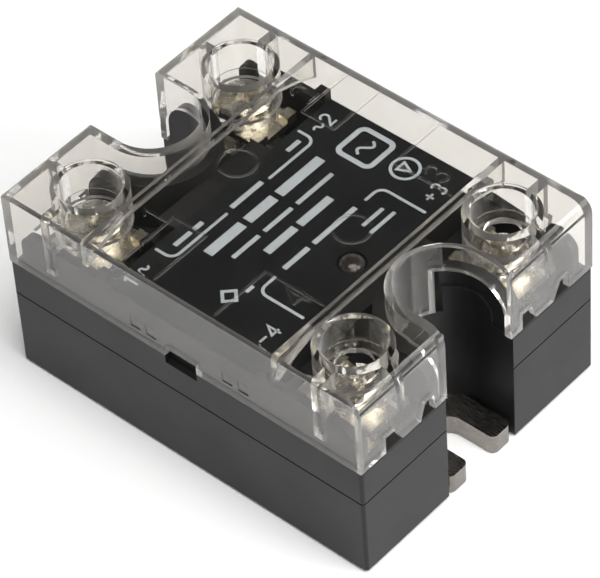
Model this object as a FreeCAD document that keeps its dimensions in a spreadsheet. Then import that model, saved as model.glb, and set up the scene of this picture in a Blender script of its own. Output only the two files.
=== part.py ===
import FreeCAD, Part
import math
import os
import re
import Sketcher

# Panel-mount solid state relay. Millimetres, +Z up, origin at the middle of the base.
# +X points to the control end (terminals 3 and 4), -X to the load end (terminals 1 and 2).

SIZES = {
    # whole relay
    "length": 58.4, "width": 44.5, "height": 30.0, "ledge_top": 18.0, "case_bottom": 0.3,
    "hole_x": 23.8, "notch_radius": 6.5, "corner_radius": 0.5,
    # baseplate
    "plate_thickness": 3.0, "plate_reach_x": 27.0, "plate_reach_y": 20.4, "plate_notch": 8.7,
    "tongue_end": 29.1, "tongue_half": 6.0, "tongue_round": 0.9, "mount_hole_radius": 2.4,
    "slot_half": 2.45,
    # housing above the ledge
    "upper_half_width": 20.9, "platform_end": 15.4, "platform_top": 23.3, "collar_radius": 8.7,
    "collar_top": 25.15, "collar_end": 27.95, "collar_round": 4.0, "collar_round_x": 23.95,
    "collar_round_z": 21.15, "step_radius": 6.8, "step_top": 22.3, "step_end": 25.8,
    "step_round": 2.8, "cheek_inside": 19.6, "cheek_top": 23.4, "cheek_end": 27.5,
    "lug_start": 12.4, "lug_end": 14.0, "lug_top": 25.0, "lug_inside": 19.7,
    "seam_z": 12.5, "seam_height": 0.22, "seam_depth": 0.14, "cheek_round": 2.2,
    "ledge_bevel": 0.3,
    # terminal pockets
    "pocket_low_y": 9.0, "shelf_start": 12.4, "shelf_z": 18.3, "pocket_start": 14.6,
    "pocket_end": 26.9, "pocket_floor": 13.5, "socket_radius": 2.5, "socket_bottom": 6.8,
    "rib_slot_low": 21.15, "rib_slot_high": 23.25, "rib_slot_bottom": 19.3,
    # latch recess and pry notch
    "recess_radius": 7.35, "recess_half": 4.8, "recess_bottom": 17.9, "pry_half": 2.6,
    "pry_depth": 1.0, "pry_bottom": 16.8, "pry_top": 19.5,
    # inside of the housing
    "room_half_x": 13.2, "room_half_y": 18.9, "room_top": 16.5, "attic_half_x": 11.2,
    "attic_half_y": 18.6, "attic_top": 21.8, "resin_top": 9.0,
    # cover
    "cover_gap": 0.05, "cover_wall": 1.0, "panel_top": 29.88, "panel_under": 28.9,
    "cover_notch": 6.2, "curtain_radius": 7.15, "curtain_bottom": 25.35, "curtain_end": 28.15,
    "curtain_round": 4.2, "tongue_width": 3.9, "tongue_bottom": 18.1, "tongue_back": 4.0,
    "input_round": 2.6, "input_inner_round": 1.4, "output_round": 0.7,
    "output_inner_round": 0.3, "side_round": 0.7, "beam_near": 15.1, "beam_far": 16.1,
    "beam_bottom": 27.8, "gusset_start": 14.4, "gusset_bend": 18.0, "gusset_middle": 26.7,
    "gusset_bottom": 25.2, "rib_half": 0.75, "rib_centre": 22.2, "rib_bottom": 19.45, "rib_gap": 0.3,
    "rib_bite": 0.5,
    "square_size": 1.7, "square_bottom": 19.9, "square_depth": 0.15, "frame_y": 12.0,
    "ring_x": 9.4, "ring_radius": 2.6,
    # screwdriver wells
    "terminal_x": 21.6, "terminal_y": 14.1, "well_radius": 5.1, "well_bottom": 23.2,
    "well_bore": 4.0, "well_lead": 0.45, "well_inside": 4.2, "floor_top": 25.9,
    "floor_under": 25.1, "floor_hole": 2.5,
    # wire windows, half of each opening profile
    "window_near": 8.4, "window_far": 17.6, "tab_near_low": 11.5, "tab_near_high": 10.2,
    "tab_far_low": 14.0, "tab_far_high": 15.8, "window_top": 20.6,
    # terminal hardware
    "bar_thickness": 1.0, "bar_end": 26.4, "bar_half": 4.0, "plate_near": 15.8,
    "clamp_far": 26.3, "clamp_half": 3.7, "clamp_thickness": 1.0, "ear_width": 1.8,
    "ear_length": 1.5, "ear_rise": 0.8, "output_clamp_z": 19.6, "input_clamp_z": 19.2,
    "washer_thickness": 0.6, "shaft_clearance": 0.05, "nut_height": 2.5,
    "output_shank": 1.95, "input_shank": 1.75, "output_pitch": 0.7, "input_pitch": 0.6,
    "output_head": 3.7, "input_head": 3.1, "output_head_height": 2.8, "input_head_height": 2.3,
    "output_washer": 4.1, "input_washer": 3.5, "output_nut": 7.0, "input_nut": 6.0,
    "thread_end": 12.2, "thread_depth": 0.32, "slot_width": 1.0, "slot_depth": 1.2,
    "cross_width": 0.9, "cross_depth": 1.5, "cross_half": 1.9, "head_bevel": 0.5,
    "thread_tip": 0.4, "groove_start": 1.2, "groove_step": 1.1, "groove_width": 0.5,
    "groove_depth": 0.25,
    # label
    "label_half_x": 12.2, "label_half_y": 20.6, "label_thickness": 0.15, "lamp_x": 9.0,
    "lamp_hole": 1.95,
    # power tile
    "tile_half_x": 12.5, "tile_half_y": 14.0, "tile_thickness": 0.635, "copper": 0.3,
    "pad_low_x": -12.3, "pad_high_x": 5.0, "pad_near_y": 0.8, "pad_far_y": 12.5,
    "chip_low_x": -1.5, "chip_high_x": 4.5, "chip_near_y": 3.0, "chip_far_y": 9.0,
    "chip_thickness": 0.4, "gate_low_x": 6.5, "gate_high_x": 10.0, "gate_near_y": 5.0,
    "gate_far_y": 8.0, "strap_width": 2.4, "strap_thickness": 0.3, "strap_top": 5.6,
    "strap_inner": 4.0, "strap_outer": 7.5, "strap_drop": 1.2, "strap_toe": 2.6,
    "strap_inset": 0.3,
    # board
    "board_half_x": 12.6, "board_half_y": 18.0, "board_under": 14.9, "board_top": 16.5,
    "pin_radius": 0.35, "pin_top": 17.3, "pin_gap": 0.1, "riser_width": 2.0,
    "riser_far_y": 12.3, "riser_x": 12.2, "foot_end": 9.5, "foot_near_y": 8.5,
    "tail_start": 10.5, "tail_low_x": 10.6, "tail_high_x": 11.0, "tail_near_y": 14.0,
    "tail_far_y": 15.0,
    # lamp
    "lamp_radius": 1.8, "lamp_rim": 1.9, "lamp_seat": 20.0, "lamp_rim_top": 21.0,
    "lamp_shoulder": 22.9, "lamp_top": 24.15, "lamp_leg_shift": 1.27, "lamp_leg_radius": 0.25,
    "lamp_leg_hole": 0.35, "lamp_leg_below": 0.6,
    # components on the board
    "case_rise": 0.5, "leg_half": 0.25, "leg_reach": 0.6, "leg_overlap": 0.2, "leg_top": 1.2,
    "resistor_radius": 1.0, "resistor_half": 2.5, "resistor_rise": 1.2, "lead_y": 2.7,
    "lead_top": 1.4, "opto_height": 3.6, "driver_height": 2.6, "capacitor_height": 4.8,
    # allowances that only help one shape into the next
    "overlap": 0.2, "margin": 1.0,
}

NUMERAL_WIDTH = 0.3
NUMERAL_HEIGHT = 3.4
NUMERAL_SPOTS = {1: (-11.3, -13.4), 2: (-11.3, 14.6), 3: (11.4, 13.8), 4: (11.6, -13.0)}
OUTPUT_FRAME = (-9.2, -3.9)
INPUT_FRAME = 5.9
SQUARE_STARTS = ("-8.2", "-5.6", "7.0", "9.6")
SCREW_STEP = 35
ROOT_START, ROOT_END, CREST_START = 0.3, 0.45, 0.75    # one thread turn, in shares of the pitch
GROOVES = 3
PIN_SPOTS = (("8.2", "6.5"), ("-6", "11"))
RESISTOR_SPOTS = ((-7.5, -4), (-7.5, 4), (-4.4, -4), (-4.4, 4))

doc = FreeCAD.newDocument("solid_state_relay")
nodes = []


def make_sheet():
    """Put every driving dimension in one spreadsheet."""
    sheet = doc.addObject("Spreadsheet::Sheet", "dims")
    for row, (alias, value) in enumerate(SIZES.items(), start=1):
        sheet.set(f"A{row}", alias)
        sheet.set(f"B{row}", str(value))
        sheet.setAlias(f"B{row}", alias)
    doc.recompute()
    return sheet


def bound(text):
    """Turn plain cell names into references to the sheet."""
    return re.sub(r"[a-z][a-z_]*", lambda word: "dims." + word.group(), str(text))


def number(text):
    """Value of an expression over the sheet."""
    return float(dims.evalExpression(bound(text)))


def span(side, low, high):
    """A range on the plus side of an axis, or its mirror image on the minus side."""
    if side > 0:
        return (low, high)
    return (f"-({high})", f"-({low})")


def both(half):
    """A range centred on zero."""
    return (f"-({half})", half)


def box(name, x_range, y_range, z_range):
    """Box between pairs of sheet expressions."""
    piece = doc.addObject("Part::Box", name)
    for size, axis, (low, high) in zip(("Length", "Width", "Height"), "xyz",
                                       (x_range, y_range, z_range)):
        piece.setExpression(size, bound(f"({high}) - ({low})"))
        piece.setExpression(f"Placement.Base.{axis}", bound(low))
    return piece


def cylinder(name, centre, radius, z_range):
    """Upright cylinder at a centre given by two sheet expressions."""
    low, high = z_range
    piece = doc.addObject("Part::Cylinder", name)
    piece.setExpression("Radius", bound(radius))
    piece.setExpression("Height", bound(f"({high}) - ({low})"))
    for axis, value in zip("xyz", (*centre, low)):
        piece.setExpression(f"Placement.Base.{axis}", bound(value))
    return piece


def cross_cylinder(name, x_value, z_value, radius, y_half):
    """Cylinder along Y, centred on the XZ plane."""
    piece = doc.addObject("Part::Cylinder", name)
    piece.Placement.Rotation = FreeCAD.Rotation(FreeCAD.Vector(1, 0, 0), -90)
    piece.setExpression("Radius", bound(radius))
    piece.setExpression("Height", bound(f"2 * ({y_half})"))
    for axis, value in zip("xyz", (x_value, f"-({y_half})", z_value)):
        piece.setExpression(f"Placement.Base.{axis}", bound(value))
    return piece


def cone(name, centre, low_radius, high_radius, z_range):
    """Upright cone frustum."""
    low, high = z_range
    piece = doc.addObject("Part::Cone", name)
    piece.setExpression("Radius1", bound(low_radius))
    piece.setExpression("Radius2", bound(high_radius))
    piece.setExpression("Height", bound(f"({high}) - ({low})"))
    for axis, value in zip("xyz", (*centre, low)):
        piece.setExpression(f"Placement.Base.{axis}", bound(value))
    return piece


def fuse(name, pieces):
    """Union of two or more objects."""
    union = doc.addObject("Part::MultiFuse", name)
    union.Shapes = pieces
    return union


def cut(name, base, tools):
    """Base less the tools."""
    result = doc.addObject("Part::Cut", name)
    result.Base = base
    result.Tool = tools[0] if len(tools) == 1 else fuse(name + "_tools", tools)
    return result


def common(name, first, second):
    """Intersection of two objects."""
    result = doc.addObject("Part::Common", name)
    result.Base = first
    result.Tool = second
    return result


def fillet(name, base, rounds):
    """Round the edges that each test picks, with its radius."""
    doc.recompute()
    picked = []
    for index, edge in enumerate(base.Shape.Edges, start=1):
        for test, radius in rounds:
            if test(edge):
                picked.append((index, radius, radius))
                break
    result = doc.addObject("Part::Fillet", name)
    result.Base = base
    result.Edges = picked
    return result


def node(name, piece):
    """Register an object as a sub-part under its own label."""
    piece.Label = name
    nodes.append((name, piece))
    return piece


def new_body(name):
    """Empty PartDesign body."""
    return doc.addObject("PartDesign::Body", name + "_body")


def sketch_on(body, name, plane="XY_Plane", height="0"):
    """Sketch on one of the body's own origin planes, raised along the plane's normal."""
    sketch = body.newObject("Sketcher::SketchObject", name)
    support = next(item for item in body.Origin.OriginFeatures if item.Role == plane)
    sketch.AttachmentSupport = [(support, "")]
    sketch.MapMode = "FlatFace"
    sketch.setExpression("AttachmentOffset.Base.z", bound(height))
    return sketch


def outline(sketch, corners):
    """Closed polygon whose corners are held by sheet expressions."""
    values = [(number(x), number(y)) for x, y in corners]
    first = sketch.GeometryCount
    count = len(corners)
    for index, start in enumerate(values):
        end = values[(index + 1) % count]
        sketch.addGeometry(Part.LineSegment(FreeCAD.Vector(*start, 0), FreeCAD.Vector(*end, 0)))
    for index in range(count):
        following = first + (index + 1) % count
        sketch.addConstraint(Sketcher.Constraint("Coincident", first + index, 2, following, 1))
    for index, corner in enumerate(corners):
        for kind, text, value in zip(("DistanceX", "DistanceY"), corner, values[index]):
            rule = Sketcher.Constraint(kind, -1, 1, first + index, 1, value)
            place = sketch.addConstraint(rule)
            sketch.setExpression(f"Constraints[{place}]", bound(text))


def rectangle(sketch, x_range, y_range):
    """Rectangle between two pairs of sheet expressions."""
    (left, right), (low, high) = x_range, y_range
    outline(sketch, [(left, low), (right, low), (right, high), (left, high)])


def ring(sketch, centre, radius):
    """Circle whose centre and radius are held by sheet expressions."""
    x_value, y_value = (number(text) for text in centre)
    middle = FreeCAD.Vector(x_value, y_value, 0)
    circle = Part.Circle(middle, FreeCAD.Vector(0, 0, 1), number(radius))
    index = sketch.addGeometry(circle)
    place = sketch.addConstraint(Sketcher.Constraint("Radius", index, number(radius)))
    sketch.setExpression(f"Constraints[{place}]", bound(radius))
    for kind, text, value in zip(("DistanceX", "DistanceY"), centre, (x_value, y_value)):
        place = sketch.addConstraint(Sketcher.Constraint(kind, -1, 1, index, 3, value))
        sketch.setExpression(f"Constraints[{place}]", bound(text))


def pad(body, name, sketch, length):
    """Pad a sketch along its normal."""
    feature = body.newObject("PartDesign::Pad", name)
    feature.Profile = sketch
    feature.setExpression("Length", bound(length))
    return feature


def pocket(body, name, sketch, depth):
    """Cut a sketch into the body below it and make sure that it removes material."""
    doc.recompute()
    before = body.Shape.Volume
    feature = body.newObject("PartDesign::Pocket", name)
    feature.Profile = sketch
    feature.setExpression("Length", bound(depth))
    doc.recompute()
    if not feature.Shape.Volume < before - 1e-6:
        raise RuntimeError(f"{name} removes nothing")
    return feature


def revolve(body, name, sketch):
    """Turn a half profile round the body's Z axis."""
    feature = body.newObject("PartDesign::Revolution", name)
    feature.Profile = sketch
    feature.ReferenceAxis = (sketch, ["V_Axis"])
    feature.Angle = 360
    return feature


def plate_body(name, outlines, low, thickness, holes=()):
    """Flat plate from rectangles and round holes (centre, radius)."""
    body = new_body(name)
    sketch = sketch_on(body, name + "_sketch", height=low)
    rectangle(sketch, *outlines)
    for centre, radius in holes:
        ring(sketch, centre, radius)
    pad(body, name + "_pad", sketch, thickness)
    return body


# ---------------------------------------------------------------- baseplate

def end_notch(name, side, radius, z_range):
    """Round-ended notch running out of one end of the relay."""
    hole = cylinder(name + "_round", (f"{side} * hole_x", "0"), radius, z_range)
    way = box(name + "_way", span(side, "hole_x", "length"), both(radius), z_range)
    return fuse(name, [hole, way])


def make_baseplate():
    """Plate with a tongue in each end notch, one drilled and one slotted."""
    body = new_body("baseplate")
    main = sketch_on(body, "plate_main")
    rectangle(main, both("plate_reach_x"), both("plate_reach_y"))
    pad(body, "plate_pad", main, "plate_thickness")
    relief = sketch_on(body, "plate_relief", height="plate_thickness")
    for side in (-1, 1):
        rectangle(relief, span(side, "hole_x", "plate_reach_x + 1"), both("plate_notch"))
    pocket(body, "plate_relief_cut", relief, "plate_thickness")
    arches = sketch_on(body, "plate_arches", height="plate_thickness")
    for side in (-1, 1):
        ring(arches, (f"{side} * hole_x", "0"), "plate_notch")
    pocket(body, "plate_arches_cut", arches, "plate_thickness")
    for side, word in ((-1, "output"), (1, "input")):
        tongue = sketch_on(body, f"tongue_{word}")
        rectangle(tongue, span(side, "hole_x - plate_notch - 1", "tongue_end"),
                  both("tongue_half"))
        pad(body, f"tongue_{word}_pad", tongue, "plate_thickness")
    hole = sketch_on(body, "mounting_hole", height="plate_thickness")
    ring(hole, ("-hole_x", "0"), "mount_hole_radius")
    pocket(body, "mounting_hole_cut", hole, "plate_thickness")
    eye = sketch_on(body, "slot_eye", height="plate_thickness")
    ring(eye, ("hole_x", "0"), "slot_half")
    pocket(body, "slot_eye_cut", eye, "plate_thickness")
    mouth = sketch_on(body, "slot_mouth", height="plate_thickness")
    rectangle(mouth, ("hole_x", "tongue_end + 1"), both("slot_half"))
    pocket(body, "slot_mouth_cut", mouth, "plate_thickness")
    doc.recompute()
    tongue_end = number("tongue_end")
    corners = []
    for index, edge in enumerate(body.Shape.Edges, start=1):
        middle = edge.CenterOfMass
        upright = abs(edge.tangentAt(edge.FirstParameter).z) > 0.99
        if upright and abs(abs(middle.x) - tongue_end) < 0.01:
            corners.append(f"Edge{index}")
    sharp = body.Tip
    rounding = body.newObject("PartDesign::Fillet", "tongue_corners")
    rounding.Base = (sharp, corners)
    rounding.Radius = number("tongue_round")
    return node("baseplate", body)


# ------------------------------------------------------------------ housing

def rounded_profile(name, side, end, top, radius, centre_x, centre_z, low):
    """Slab over one end whose upper outer corner is rounded."""
    inner = box(name + "_inner", span(side, "0", centre_x), both("width"), (low, top))
    outer = box(name + "_outer", span(side, "0", end), both("width"), (low, centre_z))
    corner = cross_cylinder(name + "_corner", f"{side} * {centre_x}", centre_z, radius, "width")
    return fuse(name, [inner, outer, corner])


def make_collar(side, word):
    """Wall that carries the notch up beside the terminals, with an arched outer end."""
    wall = end_notch(f"collar_{word}", side, "collar_radius", ("ledge_top - margin", "collar_top"))
    arch = rounded_profile(f"collar_arch_{word}", side, "collar_end", "collar_top",
                           "collar_round", "collar_round_x", "collar_round_z", "ledge_top - margin")
    return common(f"collar_wall_{word}", wall, arch)


def make_cheeks():
    """Outer cheek walls and small lugs along both long sides."""
    pieces = []
    for side_x in (-1, 1):
        for side_y in (-1, 1):
            tag = f"{'mp'[side_x > 0]}{'mp'[side_y > 0]}"
            cheek = box(f"cheek_{tag}", span(side_x, "platform_end - margin", "cheek_end"),
                        span(side_y, "cheek_inside", "upper_half_width"),
                        ("ledge_top - margin", "cheek_top"))
            lug = box(f"lug_{tag}", span(side_x, "lug_start", "lug_end"),
                      span(side_y, "lug_inside", "upper_half_width"),
                      ("platform_top - margin", "lug_top"))
            pieces.append(round_cheek(cheek, side_x, tag))
            pieces.append(lug)
    return pieces


def round_cheek(cheek, side_x, tag):
    """Round the upper outer corner of a cheek."""
    end = number("cheek_end")
    top = number("cheek_top")

    def outer_corner(edge):
        middle = edge.CenterOfMass
        return abs(middle.x - side_x * end) < 0.01 and abs(middle.z - top) < 0.01

    return fillet(f"cheek_round_{tag}", cheek, [(outer_corner, number("cheek_round"))])


def make_case_block():
    """Lower block with rounded upright corners and a small bevel along the ledge."""
    block = box("case_block", both("length / 2"), both("width / 2"), ("case_bottom", "ledge_top"))
    top = number("ledge_top")
    half = number("length / 2")

    def upright(edge):
        return abs(edge.tangentAt(edge.FirstParameter).z) > 0.99

    def ledge_end(edge):
        middle = edge.CenterOfMass
        return abs(middle.z - top) < 0.01 and abs(abs(middle.x) - half) < 0.01

    return fillet("case_rounded", block, [(upright, number("corner_radius")),
                                          (ledge_end, number("ledge_bevel"))])


def make_pocket_tools(side_x, side_y, tag, nut):
    """Everything that is cut for one terminal."""
    axis = (f"{side_x} * terminal_x", f"{side_y} * terminal_y")
    rows = span(side_y, "pocket_low_y", "cheek_inside")
    deep = box(f"pocket_{tag}", span(side_x, "pocket_start", "pocket_end"), rows,
               ("pocket_floor", "height"))
    shelf = box(f"shelf_{tag}", span(side_x, "shelf_start", "length"), rows,
                ("shelf_z", "height"))
    seat = box(f"nut_seat_{tag}", (f"{axis[0]} - {nut} / 2", f"{axis[0]} + {nut} / 2"),
               (f"{axis[1]} - {nut} / 2", f"{axis[1]} + {nut} / 2"),
               ("pocket_floor - nut_height", "pocket_floor"))
    socket = cylinder(f"socket_{tag}", axis, "socket_radius", ("socket_bottom", "pocket_floor"))
    slot = box(f"rib_slot_{tag}", span(side_x, "rib_slot_low", "rib_slot_high"),
               span(side_y, "cheek_inside - margin", "width"), ("rib_slot_bottom", "height"))
    return [deep, shelf, seat, socket, slot]


def make_latch_recess(side, word):
    """Recess at the deep end of a notch for the cover's tongue."""
    ringed = cylinder(f"latch_ring_{word}", (f"{side} * hole_x", "0"), "recess_radius",
                      ("recess_bottom", "height"))
    gate = box(f"latch_gate_{word}", span(side, "0", "hole_x"), both("recess_half"),
               ("recess_bottom", "height"))
    return common(f"latch_recess_{word}", ringed, gate)


def make_step(side, word):
    """Wider upper part of the control end's notch, which leaves a fine step along an arch."""
    wide = end_notch(f"step_wide_{word}", side, "step_radius", ("ledge_top", "height"))
    keep = rounded_profile(f"step_keep_{word}", side, "step_end", "step_top", "step_round",
                           "step_end - step_round", "step_top - step_round", "ledge_top - margin")
    return cut(f"notch_step_{word}", wide, [keep])


def make_seam():
    """Fine line round the case where the mould halves met."""
    levels = ("seam_z - seam_height / 2", "seam_z + seam_height / 2")
    outside = box("seam_outside", both("length"), both("width"), levels)
    inside = box("seam_inside", both("length / 2 - seam_depth"), both("width / 2 - seam_depth"),
                 levels)
    return cut("seam_line", outside, [inside])


def make_plate_space():
    """Room in the underside for the baseplate and its tongues."""
    levels = ("-1", "plate_thickness")
    full = box("plate_space_full", both("plate_reach_x"), both("plate_reach_y"), levels)
    keep = [end_notch(f"plate_space_{word}", side, "plate_notch", ("-2", "plate_thickness + 1"))
            for side, word in ((-1, "output"), (1, "input"))]
    tongues = box("plate_space_tongues", both("tongue_end"), both("tongue_half"), levels)
    return fuse("plate_space", [cut("plate_space_main", full, keep), tongues])


def make_room():
    """Cavity for the power tile and, in its narrower upper part, the board's components."""
    lower = box("room_lower", both("room_half_x"), both("room_half_y"),
                ("plate_thickness", "room_top"))
    upper = box("room_upper", both("attic_half_x"), both("attic_half_y"),
                ("room_top", "attic_top"))
    return fuse("room", [lower, upper])


def make_housing():
    """Black case: ledge block, platform, collars, cheeks, pockets and the cavity below."""
    platform = box("platform", both("platform_end"), both("upper_half_width"),
                   ("ledge_top - margin", "platform_top"))
    collars = [make_collar(side, word) for side, word in ((-1, "output"), (1, "input"))]
    solid = fuse("case_solid", [make_case_block(), platform, *collars, *make_cheeks()])
    tools = [make_plate_space(), make_room(), make_seam(), make_step(1, "input")]
    for side, word in ((-1, "output"), (1, "input")):
        nut = word + "_nut"
        tools.append(end_notch(f"case_notch_{word}", side, "notch_radius", ("-1", "height")))
        tools.append(make_latch_recess(side, word))
        for side_y in (-1, 1):
            tag = f"{word}_{'mp'[side_y > 0]}"
            tools.extend(make_pocket_tools(side, side_y, tag, nut))
    for side_y in (-1, 1):
        tools.append(box(f"case_pry_{'mp'[side_y > 0]}", both("pry_half"),
                         span(side_y, "width / 2 - pry_depth", "width"),
                         ("pry_bottom", "ledge_top + margin")))
    tools.append(cylinder("lamp_hole", ("lamp_x", "0"), "lamp_hole", ("room_top", "height")))
    tools.append(make_bar_slots())
    return node("housing", cut("case", solid, tools))


def make_bar_slots():
    """Slots through the cavity wall for the four bars."""
    levels = ("pocket_floor", "pocket_floor + bar_thickness")
    slots = [box(f"bar_slot_{'mp'[side > 0]}", both("pocket_start + margin"),
                 span(side, "terminal_y - bar_half", "terminal_y + bar_half"), levels)
             for side in (-1, 1)]
    return fuse("bar_slots", slots)


# -------------------------------------------------------------------- cover

def make_shell():
    """Clear box, open below, well rounded at the control end and crisp at the load end."""
    outer = box("shell_outer", both("length / 2"), both("width / 2"),
                ("ledge_top + cover_gap", "panel_top"))
    inner = box("shell_inner", both("length / 2 - cover_wall"), both("width / 2 - cover_wall"),
                ("ledge_top - margin", "panel_under"))

    def end_top(end_x, top):
        def test(edge):
            middle = edge.CenterOfMass
            return abs(middle.x - end_x) < 0.01 and abs(middle.z - top) < 0.01
        return test

    def side_top(edge):
        middle = edge.CenterOfMass
        return abs(abs(middle.y) - number("width / 2")) < 0.01 and \
            abs(middle.z - number("panel_top")) < 0.01

    outside = number("length / 2")
    inside = number("length / 2 - cover_wall")
    top = number("panel_top")
    under = number("panel_under")
    rounded = fillet("shell_rounded", outer,
                     [(end_top(outside, top), number("input_round")),
                      (end_top(-outside, top), number("output_round")),
                      (side_top, number("side_round"))])
    hollow = fillet("shell_hollow", inner,
                    [(end_top(inside, under), number("input_inner_round")),
                     (end_top(-inside, under), number("output_inner_round"))])
    return cut("shell", rounded, [hollow])


def make_curtain(side, word):
    """Wall round the cover's notch that stands on the collar, with its latch tongue."""
    levels = ("ledge_top + cover_gap", "panel_under + overlap")
    wall = end_notch(f"curtain_{word}", side, "curtain_radius", levels)
    bounds_box = box(f"curtain_bounds_{word}", span(side, "0", "length / 2 - overlap"),
                     both("curtain_radius + margin"), levels)
    inside = common(f"curtain_inside_{word}", wall, bounds_box)
    arch = rounded_profile(f"curtain_arch_{word}", side, "curtain_end", "curtain_bottom",
                           "curtain_round", "collar_round_x", "collar_round_z", "0")
    upper = cut(f"curtain_upper_{word}", inside, [arch])
    gate = box(f"tongue_gate_{word}", span(side, "0", "hole_x - tongue_back"), both("tongue_width"),
               ("tongue_bottom", "panel_under"))
    lobe = cylinder(f"tongue_ring_{word}", (f"{side} * hole_x", "0"), "curtain_radius",
                    ("tongue_bottom", "panel_under"))
    return [upper, common(f"latch_tongue_{word}", lobe, gate)]


def make_beam(side, word):
    """Rib under the panel between the wells, deeper where it meets the long walls."""
    wall = number("width / 2 - cover_wall + overlap")
    top = number("panel_under + overlap")
    half = [(0.0, number("beam_bottom")), (number("gusset_start"), number("beam_bottom")),
            (number("gusset_bend"), number("gusset_middle")), (wall, number("gusset_bottom")),
            (wall, top)]
    mirrored = [(-y, z) for y, z in reversed(half[1:])]
    x_low, x_high = (number(value) for value in span(side, "beam_near", "beam_far"))
    points = [FreeCAD.Vector(x_low, y, z) for y, z in half + mirrored]
    face = Part.Face(Part.makePolygon(points + points[:1]))
    beam = doc.addObject("Part::Feature", f"beam_{word}")
    beam.Shape = face.extrude(FreeCAD.Vector(x_high - x_low, 0, 0))
    return beam


def make_well(side_x, side_y, tag):
    """Tube under the panel and the ribs that tie it to the end wall and the long wall."""
    axis = (f"{side_x} * terminal_x", f"{side_y} * terminal_y")
    tube = cylinder(f"well_{tag}", axis, "well_radius", ("well_bottom", "panel_under + overlap"))
    end_rib = box(f"end_rib_{tag}",
                  span(side_x, "terminal_x + well_radius - rib_bite", "length / 2 - cover_wall + overlap"),
                  (f"{axis[1]} - rib_half", f"{axis[1]} + rib_half"),
                  ("well_bottom", "panel_under + overlap"))
    rib_x = span(side_x, "rib_centre - rib_half", "rib_centre + rib_half")
    side_rib = box(f"side_rib_{tag}", rib_x,
                   span(side_y, "terminal_y + well_radius - rib_bite", "width / 2 - cover_wall + overlap"),
                   ("well_bottom", "panel_under + overlap"))
    rib_leg = box(f"rib_leg_{tag}", rib_x,
                  span(side_y, "cheek_inside + rib_gap", "width / 2 - cover_wall + overlap"),
                  ("rib_bottom", "well_bottom + overlap"))
    return [tube, end_rib, side_rib, rib_leg]


def make_well_bore(side_x, side_y, tag):
    """Screwdriver well: straight at the load end, floored with a small hole at the other."""
    axis = (f"{side_x} * terminal_x", f"{side_y} * terminal_y")
    lead = cone(f"well_lead_{tag}", axis, "well_bore", "well_bore + well_lead",
                ("panel_top - well_lead", "panel_top"))
    mouth = cylinder(f"well_mouth_{tag}", axis, "well_bore + well_lead",
                     ("panel_top", "height + margin"))
    if side_x < 0:
        bore = cylinder(f"well_bore_{tag}", axis, "well_bore", ("well_bottom - margin", "panel_top"))
        skirt = cylinder(f"well_skirt_{tag}", axis, "well_inside",
                         ("well_bottom - margin", "floor_under"))
        return [lead, mouth, bore, skirt]
    bore = cylinder(f"well_bore_{tag}", axis, "well_bore", ("floor_top", "panel_top"))
    eye = cylinder(f"well_eye_{tag}", axis, "floor_hole", ("floor_under - margin", "floor_top + margin"))
    skirt = cylinder(f"well_skirt_{tag}", axis, "well_inside", ("well_bottom - margin", "floor_under"))
    return [lead, mouth, bore, eye, skirt]


def make_windows(side_x, side_y, tag):
    """Pair of wire windows left and right of the tab in the cover's end wall."""
    low = number("ledge_top - margin")
    high = number("window_top")
    near = [("window_near", low), ("tab_near_low", low), ("tab_near_high", high),
            ("window_near", high)]
    far = [("tab_far_low", low), ("window_far", low), ("window_far", high),
           ("tab_far_high", high)]
    x_start = side_x * (number("length / 2") - 2 * number("cover_wall"))
    pieces = []
    for word, corners in (("near", near), ("far", far)):
        points = [FreeCAD.Vector(x_start, side_y * number(y), z) for y, z in corners]
        face = Part.Face(Part.makePolygon(points + points[:1]))
        window = doc.addObject("Part::Feature", f"window_{word}_{tag}")
        window.Shape = face.extrude(FreeCAD.Vector(side_x * 4 * number("cover_wall"), 0, 0))
        pieces.append(window)
    return pieces


def stroke(start, end):
    """One raised line with round ends on the panel."""
    low = number("panel_top - overlap")
    tall = number("height") - low
    (x_start, y_start), (x_end, y_end) = start, end
    run = math.hypot(x_end - x_start, y_end - y_start)
    bar = Part.makeBox(run, NUMERAL_WIDTH, tall, FreeCAD.Vector(0, -NUMERAL_WIDTH / 2, low))
    turn = math.degrees(math.atan2(y_end - y_start, x_end - x_start))
    bar.rotate(FreeCAD.Vector(0, 0, 0), FreeCAD.Vector(0, 0, 1), turn)
    bar.translate(FreeCAD.Vector(x_start, y_start, 0))
    knobs = [Part.makeCylinder(NUMERAL_WIDTH / 2, tall, FreeCAD.Vector(x, y, low))
             for x, y in (start, end)]
    return bar.fuse(knobs)


def arc_points(centre, radius, start, end, steps):
    """Points along an arc, angles in degrees."""
    return [(centre[0] + radius * math.cos(math.radians(start + (end - start) * step / steps)),
             centre[1] + radius * math.sin(math.radians(start + (end - start) * step / steps)))
            for step in range(steps + 1)]


def numeral_paths(digit):
    """Strokes of a numeral in a cell one unit high, y up."""
    if digit == 1:
        return [[(-0.18, 0.8), (0.06, 1.0), (0.06, 0.0)]]
    if digit == 2:
        return [arc_points((0.0, 0.72), 0.28, 170, -35, 7) + [(-0.28, 0.0), (0.3, 0.0)]]
    if digit == 3:
        return [arc_points((0.0, 0.75), 0.25, 150, -90, 7),
                arc_points((0.0, 0.25), 0.25, 90, -150, 7)]
    return [[(0.12, 0.0), (0.12, 1.0), (-0.3, 0.32), (0.3, 0.32)]]


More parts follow.
